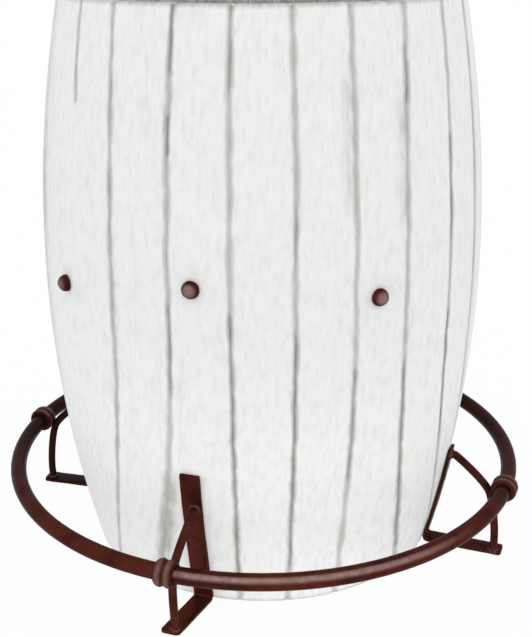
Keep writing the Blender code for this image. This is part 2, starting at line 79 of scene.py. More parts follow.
# Helpers for nodes
class Wire:
    # an output socket that sums can be written with
    def __init__(self, maker, socket):
        self.maker = maker
        self.socket = socket

    def math(self, operation, *others):
        return self.maker.math(operation, self, *others)

    def __add__(self, other):
        return self.math("ADD", other)

    def __sub__(self, other):
        return self.math("SUBTRACT", other)

    def __rsub__(self, other):
        return self.maker.math("SUBTRACT", other, self)

    def __mul__(self, other):
        return self.math("MULTIPLY", other)

    def __truediv__(self, other):
        return self.math("DIVIDE", other)

    def __neg__(self):
        return self * -1

    __radd__ = __add__
    __rmul__ = __mul__


class Maker:
    # adds nodes to one tree
    def __init__(self, tree):
        self.tree = tree

    def add(self, kind, settings=None, inputs=None, output=0):
        node = self.tree.nodes.new(kind)
        for name, value in (settings or {}).items():
            setattr(node, name, value)
        for name, value in (inputs or {}).items():
            if isinstance(value, Wire):
                wireTo(node, name, value)
            else:
                node.inputs[name].default_value = value
        return Wire(self, node.outputs[output])

    def math(self, operation, *values):
        return self.add("ShaderNodeMath", {"operation": operation}, dict(enumerate(values)))

    def fade(self, value, low, high, start=0.0, end=1.0):
        inputs = {"Value": value, "From Min": low, "From Max": high, "To Min": start, "To Max": end}
        return self.add("ShaderNodeMapRange", {"interpolation_type": "SMOOTHSTEP"}, inputs)

    def vector(self, x, y, z):
        return self.add("ShaderNodeCombineXYZ", None, {0: x, 1: y, 2: z})

    def split(self, vector):
        return [self.add("ShaderNodeSeparateXYZ", None, {0: vector}, axis) for axis in range(3)]

    def cloud(self, vector, scale, detail=2.0, roughness=0.5):
        inputs = {"Vector": vector, "Scale": scale, "Detail": detail, "Roughness": roughness}
        return self.add("ShaderNodeTexNoise", None, inputs)

    def attribute(self, name, output="Fac"):
        return self.add("ShaderNodeAttribute", {"attribute_name": name}, None, output)

    def blend(self, factor, low, high):
        # colours, because a Math node would turn them grey
        low = low if isinstance(low, Wire) else (*low, 1)
        high = high if isinstance(high, Wire) else (*high, 1)
        return self.add("ShaderNodeMix", {"data_type": "RGBA"}, {0: factor, 6: low, 7: high}, 2)


def wireTo(node, name, wire):
    wire.maker.tree.links.new(wire.socket, node.inputs[name])


def newMaterial(name):
    material = bpy.data.materials.new(name)
    material.use_nodes = True
    shader = material.node_tree.nodes["Principled BSDF"]
    return material, Maker(material.node_tree), shader


def addBump(shader, settings, relief):
    inputs = {"Strength": settings["bumpStrength"], "Distance": settings["bumpDistance"], "Height": relief}
    wireTo(shader, "Normal", relief.maker.add("ShaderNodeBump", None, inputs))


# Whitewashed oak, with the scales of its patterns across and along the boards
whitewash = {
    "paint": (0.88, 0.88, 0.877),
    "warm": (0.885, 0.878, 0.868),
    "cool": (0.87, 0.876, 0.882),
    "thin": (0.60, 0.60, 0.59),
    "crack": (0.26, 0.25, 0.235),
    # colour of grime, and of the painted shade inside the barrel, along its side edges and round the head's
    # rim
    "grimeAndShade": (0.34, 0.33, 0.31),
    "seam": (0.43, 0.43, 0.41),
    "core": (0.13, 0.12, 0.11),
    "fibreScale": (330, 8),
    "streakScale": (130, 38),
    "tintScale": (14, 5),
    "patchScale": (45, 24),
    "crackScale": (38, 1.3),
    "crackedScale": (30, 7),
    "mottleScale": 75.0,
    "thinning": 0.36,
    "crackWidth": 0.011,
    "cracking": 0.12,
    "seamWidth": 0.0074,
    "coreWidth": 0.0032,
    "coreShare": 0.5,
    "roughness": 0.74,
    "roughnessSpread": 0.25,
    "specular": 0.2,
    "bumpStrength": 0.4,
    "bumpDistance": 0.0006,
}


def makeWhitewash(settings):
    # each vertex carries its place on its board in metres with the board's number, its distance
    # from the board's edge, how dark the joint there is, and how much grime and painted shade
    # darken the wood there
    material, maker, shader = newMaterial("staveWood")
    across, along, board = maker.split(maker.attribute("grain", "Vector"))
    edge, seam, dirtAndShade = [maker.attribute(name) for name in ("edge", "seam", "dirtAndShade")]

    def grainNoise(scale, seed, detail=3.0, roughness=0.55):
        place = maker.vector(across * scale[0], along * scale[1], board * seed)
        return maker.cloud(place, 1.0, detail, roughness)

    fibre = grainNoise(settings["fibreScale"], 3.7, 4.0, 0.62)
    streak = grainNoise(settings["streakScale"], 9.1)
    mottle = maker.cloud(maker.vector(across, along, board * 2.3), settings["mottleScale"], 4.0, 0.6)
    tint = grainNoise(settings["tintScale"], 5.3, 2.0)
    colour = maker.blend(maker.fade(tint, 0.35, 0.5), settings["cool"], settings["paint"])
    colour = maker.blend(maker.fade(tint, 0.55, 0.72), colour, settings["warm"])
    bare = maker.fade(streak, 0.4, 0.8) * 0.9 + maker.fade(fibre, 0.5, 0.85) * 0.3
    bare = bare + maker.fade(mottle, 0.48, 0.8) * 0.4
    colour = maker.blend(bare * settings["thinning"], colour, settings["thin"])

    # hairline cracks run along the grain where a slow noise crosses its middle
    line = (grainNoise(settings["crackScale"], 7.7, 2.0) - 0.5).math("ABSOLUTE")
    where = maker.fade(grainNoise(settings["crackedScale"], 4.9, 2.0), 0.56, 0.68)
    cracked = maker.fade(line, 0.0, settings["crackWidth"], 1, 0) * where
    colour = maker.blend(cracked * settings["cracking"], colour, settings["crack"])

    # thick grime and painted shade cover the wood, thin ones only lie in its grain
    patchy = grainNoise(settings["patchScale"], 1.7, 4.0)
    lined = maker.fade(streak * 0.6 + patchy * 0.7 + fibre * 0.7, 0.75, 1.25, 0.3, 1)
    darkened = maker.math("MINIMUM", dirtAndShade * (lined + dirtAndShade * 0.35), 1.0)
    colour = maker.blend(darkened, colour, settings["grimeAndShade"])

    # the joints are a soft line with a dark core, and both come and go
    width = maker.fade(patchy, 0.3, 0.7, 0.7, 1.3) * settings["seamWidth"]
    soft = maker.fade(edge / width, 0.2, 1.0, 1, 0) * maker.fade(patchy, 0.3, 0.6, 0.75, 1)
    colour = maker.blend(soft * seam, colour, settings["seam"])
    core = maker.fade(edge, 0, settings["coreWidth"], 1, 0) * settings["coreShare"]
    core = core * maker.fade(patchy * 0.6 + seam, 1.05, 1.3)
    colour = maker.blend(core, colour, settings["core"])
    wireTo(shader, "Base Color", colour)
    wireTo(shader, "Roughness", settings["roughness"] + (mottle - 0.5) * settings["roughnessSpread"])
    addBump(shader, settings, fibre * 0.7 + mottle * 0.35 + streak * 0.4)
    shader.inputs["Specular IOR Level"].default_value = settings["specular"]
    return material


staveWood = makeWhitewash(whitewash)

# Bare oak, for what is inside
bareOak = {
    "light": (0.42, 0.29, 0.18),
    "dark": (0.22, 0.14, 0.08),
    "fibreScale": (260, 9, 60),
    "roughness": 0.78,
    "roughnessSpread": 0.2,
    "bumpStrength": 0.4,
    "bumpDistance": 0.0005,
}


def makeBareOak(settings):
    material, maker, shader = newMaterial("bareOak")
    axes = maker.split(maker.add("ShaderNodeTexCoord", None, None, "Object"))
    stretched = [axis * scale for axis, scale in zip(axes, settings["fibreScale"])]
    fibre = maker.cloud(maker.vector(*stretched), 1.0, 4.0, 0.6)
    colour = maker.blend(maker.fade(fibre, 0.35, 0.7), settings["light"], settings["dark"])
    wireTo(shader, "Base Color", colour)
    wireTo(shader, "Roughness", settings["roughness"] + (fibre - 0.5) * settings["roughnessSpread"])
    addBump(shader, settings, fibre)
    return material


bareWood = makeBareOak(bareOak)

# Bronzed iron, with painted shade that darkens it behind, and painted highlights on the rail's front,
# the collar beads, the welds and the nail heads
bronzedIron = {
    "brown": (0.076, 0.017, 0.010),
    "dark": (0.046, 0.011, 0.007),
    "behind": (0.012, 0.005, 0.004),
    "behindReach": (-0.30, 0.10),
    "behindShare": 0.75,
    "fleck": (0.12, 0.046, 0.036),
    "fleckShare": 0.3,
    # colour of the painted highlights
    "highlightColour": (0.35, 0.22, 0.20),
    "grazing": (0.30, 0.17, 0.14),
    "hammerScale": 95.0,
    "speckScale": 520.0,
    "patchScale": 22.0,
    "metallic": 0.5,
    "specular": 0.08,
    "roughness": 0.30,
    "roughnessSpread": 0.15,
    "bumpStrength": 0.3,
    "bumpDistance": 0.0005,
}


def makeIron(settings):
    material, maker, shader = newMaterial("bronzedIron")
    place = maker.add("ShaderNodeTexCoord", None, None, "Object")
    hammer = maker.cloud(place, settings["hammerScale"], 2.0, 0.4)
    speck = maker.cloud(place, settings["speckScale"], 3.0, 0.6)
    patch = maker.cloud(place, settings["patchScale"], 3.0)
    colour = maker.blend(maker.fade(patch, 0.36, 0.56), settings["dark"], settings["brown"])
    # painted shade: darker towards the back, with fewer flecks there
    back = maker.fade(maker.split(place)[1], *settings["behindReach"])
    colour = maker.blend(back * settings["behindShare"], colour, settings["behind"])
    flecks = maker.fade(hammer, 0.5, 0.8) * maker.fade(speck, 0.4, 0.62) * (1 - back * 0.7)
    colour = maker.blend(flecks * settings["fleckShare"], colour, settings["fleck"])
    # painted highlight, laid on where a piece stores it
    highlight = maker.attribute("highlight") * maker.fade(hammer + speck * 0.5, 0.55, 0.95, 0.7, 1)
    colour = maker.blend(highlight, colour, settings["highlightColour"])
    wireTo(shader, "Base Color", colour)
    spread = settings["roughnessSpread"]
    wireTo(shader, "Roughness", settings["roughness"] + (speck - 0.5) * spread + (patch - 0.5) * spread)
    shader.inputs["Metallic"].default_value = settings["metallic"]
    shader.inputs["Specular IOR Level"].default_value = settings["specular"]
    shader.inputs["Specular Tint"].default_value = (*settings["grazing"], 1)
    addBump(shader, settings, hammer * 0.6 + speck * 0.12)
    return material


iron = makeIron(bronzedIron)
print("materials made")


# Finishing of pieces
def finishPiece(name, mesh, material, replaced=(), sharp=35.0):
    # closed mesh in place, normals outwards, riding on the frame
    bm = bmesh.new()
    bm.from_mesh(mesh)
    bmesh.ops.recalc_face_normals(bm, faces=bm.faces)
    bm.to_mesh(mesh)
    bm.free()
    mesh.materials.clear()
    mesh.materials.append(material)
    mesh.shade_smooth()
    mesh.set_sharp_from_angle(angle=math.radians(sharp))
    piece = bpy.data.objects.new(name, mesh)
    addToScene(piece)
    if replaced:
        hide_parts(*replaced)
    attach(piece, "root")


# Helpers for geometry trees
def newTree(name, labels):
    # a tree with named number inputs; returns its maker and the wires of the inputs
    tree = bpy.data.node_groups.new(name, "GeometryNodeTree")
    for way in ("OUTPUT", "INPUT"):
        tree.interface.new_socket(name="Geometry", in_out=way, socket_type="NodeSocketGeometry")
    for label in labels:
        tree.interface.new_socket(name=label, in_out="INPUT", socket_type="NodeSocketFloat")
    start = tree.nodes.new("NodeGroupInput")
    maker = Maker(tree)
    return maker, {label: Wire(maker, start.outputs[label]) for label in ["Geometry", *labels]}


def addBlock(maker, *counts):
    # block of side 1, with these counts of vertices along X, Y and Z
    inputs = {f"Vertices {axis}": count for axis, count in zip("XYZ", counts)}
    return maker.add("GeometryNodeMeshCube", None, {"Size": (1, 1, 1), **inputs})


def crowd(value, amount):
    # crowds a range of 1 towards its ends, with a negative amount where it starts at 0
    turn = 2 * math.pi
    return value + (value * turn).math("SINE") * (amount / turn)


def moveTo(maker, geometry, place):
    return maker.add("GeometryNodeSetPosition", None, {"Geometry": geometry, "Position": place})


def pushOut(maker, geometry, distance):
    # moves the skin along its normals
    normal = maker.add("GeometryNodeInputNormal")
    offset = maker.add("ShaderNodeVectorMath", {"operation": "SCALE"}, {0: normal, "Scale": distance})
    return maker.add("GeometryNodeSetPosition", None, {"Geometry": geometry, "Offset": offset})


def storeAll(maker, geometry, values):
    # attributes on the vertices: vectors for the grain, numbers for the rest
    for name, value in values.items():
        settings = {"data_type": "FLOAT_VECTOR" if name == "grain" else "FLOAT", "domain": "POINT"}
        inputs = {"Geometry": geometry, "Name": name, "Value": value}
        geometry = maker.add("GeometryNodeStoreNamedAttribute", settings, inputs)
    return geometry


def endTree(maker, geometry, material):
    geometry = maker.add("GeometryNodeRealizeInstances", None, {"Geometry": geometry})
    geometry = maker.add("GeometryNodeSetMaterial", None, {"Geometry": geometry, "Material": material})
    wireTo(maker.tree.nodes.new("NodeGroupOutput"), "Geometry", geometry)


def grow(tree, values, seedMesh=None):
    # plain mesh that a tree gives for a set of values
    carrier = bpy.data.objects.new(tree.name, seedMesh or bpy.data.meshes.new(tree.name))
    addToScene(carrier)
    modifier = carrier.modifiers.new(tree.name, "NODES")
    modifier.node_group = tree
    sockets = {item.name: item for item in tree.interface.items_tree if item.in_out == "INPUT"}
    for label, value in values.items():
        modifier[sockets[label].identifier] = value
    bpy.context.view_layer.update()
    graph = bpy.context.evaluated_depsgraph_get()
    mesh = bpy.data.meshes.new_from_object(carrier.evaluated_get(graph))
    carrier.modifiers.remove(modifier)
    bpy.data.objects.remove(carrier)
    return mesh


# Staves
barrel = {
    "height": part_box("stave_01")[1][2],
    "bellyRadius": 0.349,
    "endRadius": 0.297,
    "thickness": 0.026,
    "chime": 0.008,
    "crozeDepth": 0.005,
    "crozeWidth": 0.0081,
    "crozeSlack": 0.001,
    "headTop": 0.830,
    "headBottom": 0.047,
    "shares": (1.00, 0.98, 0.945, 1.075, 1.00),
    "sets": 5,
}
# Start and rise of the fanning are azimuths, for the left, the right and above
fan = {
    "height": 0.45,
    "angle": 17.0,
    "left": (6.0, 23.0),
    "right": (18.0, 28.0),
    "topHeight": 0.60,
    "topAngle": 2.4,
    "top": (22.0, 15.0),
}
staveFinish = {
    "columns": 21,
    "layers": 3,
    "rows": 150,
    "crowdColumns": 0.75,
    "crowdRows": 0.8,
    "jointHalf": 0.00005,
    "jointWear": 0.0002,
    "wearScale": 26.0,
    "waver": 0.0042,
    "waverScale": 9.0,
    "easeWidth": 0.0040,
    "easeDepth": 0.0009,
    "easeScale": 40.0,
    "cornerEase": 0.0028,
    "cornerTop": 0.02,
    "cornerFoot": 0.012,
    "footShare": 0.4,
    "arrisHeight": 0.004,
    "arrisDepth": 0.0016,
    "relief": 0.0006,
    "reliefScale": (22, 5),
    "unevenTop": 0.0008,
    "unevenFace": 0.0004,
    "paintedBlur": 0.02,
    "stainBlur": 0.05,
    "seam": 0.74,
    # painted shade on the inner faces, then how much the rim and the foot are darkened
    "inside": 0.85,
    "rim": 0.75,
    "rimBlur": 0.006,
    "foot": 0.60,
    "footBlur": 0.007,
}
# Joint 0 is the one left of the front stave, counted towards the right.
# Darker stretches of the joints: joint, from height, to height, strength
jointStains = (
    (0, 0.06, 0.49, 0.92),
    (0, 0.78, 0.88, 0.88),
    (1, 0.56, 0.64, 0.85),
    (1, 0.08, 0.46, 0.95),
    (2, 0.23, 0.40, 0.9),
    (3, 0.06, 0.40, 0.95),
    (3, 0.76, 0.82, 0.9),
    (4, 0.56, 0.70, 0.9),
    (4, 0.25, 0.45, 1.0),
    (-1, 0.70, 0.74, 0.95),
    (-1, 0.80, 0.88, 0.95),
    (-1, 0.37, 0.50, 0.9),
    (-2, 0.20, 0.86, 0.8),
    (-3, 0.76, 0.88, 0.78),
)
# Grime and painted shade beside the joints: joint, side of it, from height, to height, strength,
# how far they reach
dirtAndShadeBands = (
    (2, -1, 0.66, 0.77, 0.36, 0.024),
    (3, -1, 0.62, 0.74, 0.36, 0.022),
    (-1, -1, 0.70, 0.75, 0.50, 0.010),
    (-1, -1, 0.02, 0.21, 0.55, 0.012),
    (-1, 1, 0.02, 0.20, 0.60, 0.016),
    (-2, 1, 0.40, 0.60, 0.22, 0.014),
    # painted shade along the barrel's right and left edges
    (5, 1, 0.00, 0.88, 0.42, 0.018),
    (6, -1, 0.30, 0.88, 0.50, 0.030),
    (-5, 1, 0.56, 0.66, 0.66, 0.080),
    (-5, 1, 0.20, 0.88, 0.42, 0.085),
    (8, -1, 0.30, 0.88, 0.30, 0.036),
    (11, 1, 0.00, 0.60, 0.32, 0.036),
    (-9, -1, 0.10, 0.88, 0.30, 0.040),
)
# Joints painted over below a height
paintedJoints = {-3: 0.75, -4: 0.90}


def outerRadius(height):
    share = 2 * height / barrel["height"] - 1
    return barrel["bellyRadius"] - (barrel["bellyRadius"] - barrel["endRadius"]) * share * share


def outerSlope(height):
    share = 2 * height / barrel["height"] - 1
    return -4 * (barrel["bellyRadius"] - barrel["endRadius"]) * share / barrel["height"]


def staveLayout():
    # centre azimuth and width of each stave, in degrees
    whole = sum(barrel["shares"]) * barrel["sets"]
    widths = [share * 360 / whole for share in barrel["shares"]] * barrel["sets"]
    layout, centre = [], 0.0
    for index, width in enumerate(widths):
        layout.append((centre, width))
        centre += (width + widths[(index + 1) % len(widths)]) / 2
    return layout


def makeStaveTree():
    labels = ("Azimuth", "Width", "Left joint", "Right joint", "Left painted", "Right painted", "Board")
    maker, given = newTree("staveTree", labels)
    finish, height = staveFinish, barrel["height"]
    cube = addBlock(maker, finish["columns"], finish["layers"], finish["rows"])
    unitX, unitY, unitZ = maker.split(maker.add("GeometryNodeInputPosition"))
    across = crowd(unitX, finish["crowdColumns"])
    level = crowd(unitZ + 0.5, -finish["crowdRows"]) * height
    inward = unitY + 0.5
    outward = 1 - inward
    middle = level * (2 / height) - 1
    outer = barrel["bellyRadius"] - middle * middle * (barrel["bellyRadius"] - barrel["endRadius"])

    def lineNoise(number, scale, detail):
        return maker.cloud(maker.vector(level * scale, number * 13.7, 0.5), 1.0, detail)

    # the joint wavers the same way for both of its staves, and is worn unevenly on each
    left = lineNoise(given["Left joint"], finish["waverScale"], 4.0)
    right = lineNoise(given["Right joint"], finish["waverScale"], 4.0)
    waver = left + (right - left) * (across + 0.5) - 0.5
    rightHalf = maker.math("GREATER_THAN", across, 0)
    painted = given["Left painted"] + (given["Right painted"] - given["Left painted"]) * rightHalf
    bare = maker.fade(level, painted - finish["paintedBlur"], painted)
    wear = lineNoise(given["Board"] * 0.7 + rightHalf * 31, finish["wearScale"], 3.0)
    wear = maker.fade(wear, 0.4, 0.8)
    wornBy = (wear * finish["jointWear"] * bare + finish["jointHalf"]) / outer * math.degrees(1)
    azimuth = given["Azimuth"] + across * (given["Width"] - wornBy * 2)

    # the joints fan out towards the floor, and a little towards the rim
    side = maker.math("WRAP", azimuth, 180, -180)
    aside = side.math("ABSOLUTE")
    onRight = maker.math("GREATER_THAN", side, 0)

    def fanShare(start, rise):
        full = start + rise
        return maker.fade(aside, start, full) - maker.fade(aside, full, 180)

    start, rise = [low + onRight * (high - low) for low, high in zip(fan["left"], fan["right"])]
    drop = maker.math("MAXIMUM", 1 - level / fan["height"], 0)
    lift = maker.math("MAXIMUM", level - fan["topHeight"], 0) / (height - fan["topHeight"])
    lowFan = fanShare(start, rise) * drop * drop * fan["angle"]
    topFan = fanShare(*fan["top"]) * lift * lift * fan["topAngle"]
    azimuth = azimuth + side.math("SIGN") * (lowFan + topFan)
    azimuth = azimuth + waver * finish["waver"] / outer * math.degrees(1)

    # the face is eased along the joints and a little rough
    edge = (0.5 - across.math("ABSOLUTE")) * given["Width"] * math.radians(1) * outer
    ease = maker.fade(edge, 0, finish["easeWidth"], 1, 0) * bare
    rough = lineNoise(given["Board"] * 1.9 + rightHalf * 17, finish["easeScale"], 4.0)
    rough = maker.fade(rough, 0.3, 0.75, 0.4, 1.15)
    scaleX, scaleZ = finish["reliefScale"]
    fibre = maker.vector(across * scaleX, level * scaleZ, given["Board"] * 4.1)
    fibre = maker.cloud(fibre, 1.0, 4.0, 0.55)
    perBoard = maker.add("ShaderNodeTexWhiteNoise", {"noise_dimensions": "1D"}, {"W": given["Board"]})
    sunk = ease * ease * rough * finish["easeDepth"]
    sunk = sunk + fibre * finish["relief"] + perBoard * finish["unevenFace"]
    sunk = sunk + maker.fade(level, height - finish["arrisHeight"], height) * finish["arrisDepth"]

    # the chimes and the grooves for the heads thin the stave from inside
    atTop = maker.math("MAXIMUM", level - (height - barrel["chime"]), 0)
    atBottom = maker.math("MAXIMUM", barrel["chime"] - level, 0)
    grooveHalf = barrel["crozeWidth"] / 2 + barrel["crozeSlack"]
    croze = 0
    for head in (barrel["headTop"], barrel["headBottom"]):
        inGroove = maker.math("LESS_THAN", (level - head).math("ABSOLUTE"), grooveHalf)
        croze = croze + inGroove * barrel["crozeDepth"]
    depth = barrel["thickness"] - atTop - atBottom - croze
    radius = outer - inward * depth - sunk * outward
    cutTop = ease * finish["cornerEase"] + perBoard * finish["unevenTop"]
    cutTop = maker.fade(level, height - finish["cornerTop"], height) * cutTop
    cutFoot = maker.fade(level, finish["cornerFoot"], 0) * ease * finish["cornerEase"] * finish["footShare"]
    angle = azimuth * math.radians(1)
    x, y = radius * angle.math("SINE"), -(radius * angle.math("COSINE"))
    place = maker.vector(x, y, level - cutTop + cutFoot)

    fromMiddle = across * given["Width"] * math.radians(1) * barrel["bellyRadius"]
    grain = maker.vector(fromMiddle, level, given["Board"])
    cube = storeAll(maker, cube, {"grain": grain, "edge": edge, "side": across, "inward": inward})
    endTree(maker, moveTo(maker, cube, place), staveWood)
    return maker.tree


def readNumbers(mesh, name):
    numbers = numpy.zeros(len(mesh.vertices), dtype=numpy.float32)
    mesh.attributes[name].data.foreach_get("value", numbers)
    return numbers


def addDirtAndShade(mesh, leftJoint, rightJoint):
    # how dark the joints are, more so on the stained stretches, and how much the wood darkens:
    # painted shade on the inner faces, darker at the rim and the foot, grime and painted shade by the
    # joints
    finish = staveFinish
    side, inward = readNumbers(mesh, "side"), readNumbers(mesh, "inward")
    grain = numpy.zeros(len(side) * 3, dtype=numpy.float32)
    mesh.attributes["grain"].data.foreach_get("vector", grain)
    across, level = grain.reshape(-1, 3)[:, 0], grain.reshape(-1, 3)[:, 1]

    def between(low, high, blur=finish["stainBlur"]):
        return numpy.clip((level - low) / blur + 1, 0, 1) * numpy.clip((high - level) / blur + 1, 0, 1)

    seam = numpy.full(len(side), finish["seam"])
    # painted shade on the inner faces of the staves
    dirtAndShade = inward * finish["inside"]
    # darker at the top of the staves and at their very foot
    dirtAndShade = numpy.maximum(dirtAndShade, between(barrel["height"], 1, finish["rimBlur"]) * finish["rim"])
    dirtAndShade = numpy.maximum(dirtAndShade, between(-1, 0, finish["footBlur"]) * finish["foot"])
    fromLeft, fromRight = across - across.min(), across.max() - across
    for joint, half, fromEdge in ((leftJoint, side < 0, fromLeft), (rightJoint, side > 0, fromRight)):
        painted = level < paintedJoints.get(joint, -1)
        seam = numpy.where(half & painted, 0, seam)
        for stained, low, high, strength in jointStains:
            if stained == joint:
                darker = numpy.maximum(seam, strength * between(low, high))
                seam = numpy.where(half & ~painted, darker, seam)
        for stained, towards, low, high, strength, reach in dirtAndShadeBands:
            if stained == joint and (towards < 0) == (joint == rightJoint):
                faded = numpy.clip(2 - 2 * fromEdge / reach, 0, 1)
                dirtAndShade = numpy.maximum(dirtAndShade, strength * faded * between(low, high))
    dirtAndShade = numpy.minimum(dirtAndShade, 1.0)
    for name, values in (("seam", seam), ("dirtAndShade", dirtAndShade)):
        mesh.attributes.new(name, "FLOAT", "POINT").data.foreach_set("value", values.astype(numpy.float32))


def makeStaves():
    tree = makeStaveTree()
    layout = staveLayout()
    count = len(layout)
    for index, (azimuth, width) in enumerate(layout):
        left, right = [joint if joint <= count // 2 else joint - count for joint in (index, index + 1)]
        values = {
            "Azimuth": (azimuth + 180) % 360 - 180,
            "Width": width,
            "Left joint": float(left % count),
            "Right joint": float(right % count),
            "Left painted": paintedJoints.get(left, -1.0),
            "Right painted": paintedJoints.get(right, -1.0),
            "Board": float(index),
        }
        mesh = grow(tree, values)
        addDirtAndShade(mesh, left, right)
        number = f"{index + 1:02d}"
        finishPiece(f"staveBoard{number}", mesh, staveWood, [f"stave_{number}"])


makeStaves()
print("staves made")

# Upper head, whose boards are numbered on from the staves in the grain
headFinish = {
    "turn": 12.0,
    "shares": (1.00, 1.10, 1.04, 0.96, 1.02),
    "fit": 0.9995,
    "thickness": 0.022,
    "tongue": 0.0075,
    "bevelWidth": 0.011,
    "tongueDepth": 0.0055,
    "leastChord": 0.01,
    "gap": 0.0007,
    "ease": 0.0012,
    "easeWidth": 0.004,
    "relief": 0.0004,
    "reliefScale": (260, 5),
    "firstNumber": 40,
    "seam": 0.75,
    # painted shade round the head's rim: strength, reach and where it is full
    "grimeAndShade": 0.55,
    "shadeReach": 0.035,
    "shadeFull": 0.004,
    "columns": 19,
    "rows": 90,
    "layers": 3,
    "crowd": 0.7,
}


def nodeReach(names):
    # farthest that the nodes come from the barrel's axis
    return max(math.hypot(vert.co.x, vert.co.y) for name in names for vert in nodes[name].data.vertices)


def makeHeadTree(reach):
    maker, given = newTree("headTree", ("Low", "High", "Board"))
    finish = headFinish
    cube = addBlock(maker, finish["columns"], finish["rows"], finish["layers"])
    unitX, unitY, unitZ = maker.split(maker.add("GeometryNodeInputPosition"))
    across = crowd(unitX, finish["crowd"])
    along = crowd(unitY, finish["crowd"]) * 2
    width = given["High"] - given["Low"]
    x = given["Low"] + (across + 0.5) * width
    chord = maker.math("MAXIMUM", reach * reach - x * x, finish["leastChord"] ** 2)
    y = along * maker.math("SQRT", chord)
    edge = (0.5 - across.math("ABSOLUTE")) * width
    ease = maker.fade(edge, 0, finish["easeWidth"], 1, 0)
    fromRim = reach - maker.math("SQRT", x * x + y * y)
    thin = maker.fade(fromRim, finish["tongueDepth"], finish["tongueDepth"] + finish["bevelWidth"], 1, 0)
    half = finish["thickness"] / 2 - thin * (finish["thickness"] - finish["tongue"]) / 2
    scaleX, scaleY = finish["reliefScale"]
    fibre = maker.cloud(maker.vector(x * scaleX, y * scaleY, given["Board"] * 3.3), 1.0, 4.0)
    z = unitZ * 2 * (half - ease * ease * finish["ease"] - fibre * finish["relief"])
    angle = math.radians(finish["turn"])
    turnedX = x * math.cos(angle) - y * math.sin(angle)
    turnedY = x * math.sin(angle) + y * math.cos(angle)
    place = maker.vector(turnedX, turnedY, z + barrel["headTop"])
    grain = maker.vector(x, y, given["Board"] + finish["firstNumber"])
    # painted shade, darker towards the head's rim in the corner under the staves
    dirtAndShade = maker.fade(fromRim, finish["shadeReach"], finish["shadeFull"], 0, finish["grimeAndShade"])
    cube = storeAll(maker, cube, {"grain": grain, "edge": edge, "seam": finish["seam"], "dirtAndShade": dirtAndShade})
    endTree(maker, moveTo(maker, cube, place), staveWood)
    return maker.tree


def makeHead():
    names = [f"top_head_board_{index + 1}" for index in range(len(headFinish["shares"]))]
    reach = nodeReach(names)
    tree = makeHeadTree(reach)
    whole, low = sum(headFinish["shares"]), -reach * headFinish["fit"]
    halfGap = headFinish["gap"] / 2
    for index, (name, share) in enumerate(zip(names, headFinish["shares"])):
        high = low + 2 * reach * headFinish["fit"] * share / whole
        values = {"Low": low + halfGap, "High": high - halfGap, "Board": float(index)}
        low = high
        finishPiece(f"headBoard{index + 1}", grow(tree, values), staveWood, [name])


makeHead()
for name in ("bottom_head", "inner_ring"):
    nodes[name].data.materials.clear()
    nodes[name].data.materials.append(bareWood)
print("heads made")

# Foot rail
rail = {
    "radius": 0.4276,
    "height": 0.127,
    "tubeRadius": 0.0130,
    "endGap": 0.0005,
    "steps": 72,
    "sides": 32,
    "sharp": 60.0,
    "dents": 0.00025,
    "dentScale": 60.0,
    "dentLevel": 0.6,
    # painted highlight on the rail's upper front: strength, tilt, edge and where it lies
    "highlight": 0.85,
    "highlightTilt": 42.0,
    "highlightEdge": (0.91, 0.995),
    "highlightLeft": (-0.17, -0.10),
    "highlightRight": (0.33, 0.18),
    "highlightDepth": (-0.20, -0.30),
}
# Azimuths of each bracket's bar and rod, heights of their tops, how far the bar's tip passes the
# rail and how far the rod stands in from the tip. The front foot is turned, and its rod leans aside
brackets = {
    "left": {
        "bar": -104.5, "barTop": 0.183, "tip": 0.0036,
        "rod": -104.5, "rodTop": 0.174, "rodInset": 0.012,
    },
    "front": {
        "bar": -18.4, "barTop": 0.242, "tip": -0.0216, "footTurn": -9.0,
        "rod": -19.1, "rodTop": 0.184, "rodInset": 0.009, "topAside": 0.009, "footAside": -0.004,
    },
    "right": {
        "bar": 68.6, "barTop": 0.181, "tip": 0.0064,
        "rod": 67.4, "rodTop": 0.174, "rodInset": 0.014,
    },
    "back": {
        "bar": 160.0, "barTop": 0.183, "tip": -0.0036,
        "rod": 160.0, "rodTop": 0.174, "rodInset": 0.013,
    },
}


def makeRailTree():
    maker, given = newTree("railTree", ("Start", "Sweep"))
    angles = {"Start Angle": given["Start"], "Sweep Angle": given["Sweep"]}
    sizes = {"Resolution": rail["steps"], "Radius": rail["radius"], **angles}
    arc = maker.add("GeometryNodeCurveArc", {"mode": "RADIUS"}, sizes)
    sizes = {"Resolution": rail["sides"], "Radius": rail["tubeRadius"]}
    ring = maker.add("GeometryNodeCurvePrimitiveCircle", {"mode": "RADIUS"}, sizes)
    inputs = {"Curve": arc, "Profile Curve": ring, "Fill Caps": True}
    tube = maker.add("GeometryNodeCurveToMesh", None, inputs)
    inputs = {"Geometry": tube, "Translation": (0, 0, rail["height"])}
    tube = maker.add("GeometryNodeTransform", None, inputs)
    place = maker.add("GeometryNodeInputPosition")

    # painted highlight: a band on the upper outer side, right of the front bracket
    x, y, z = maker.split(place)
    out = maker.math("SQRT", x * x + y * y) - rail["radius"]
    tilt = math.radians(rail["highlightTilt"])
    towardsHighlight = (out * math.cos(tilt) + (z - rail["height"]) * math.sin(tilt)) / rail["tubeRadius"]
    inFront = maker.fade(x, *rail["highlightLeft"]) * maker.fade(x, *rail["highlightRight"])
    inFront = inFront * maker.fade(y, *rail["highlightDepth"])
    tube = storeAll(maker, tube, {"highlight": maker.fade(towardsHighlight, *rail["highlightEdge"]) * inFront * rail["highlight"]})
    dent = (maker.cloud(place, rail["dentScale"], 2.0) - rail["dentLevel"]) * rail["dents"]
    endTree(maker, pushOut(maker, tube, dent), iron)
    return maker.tree


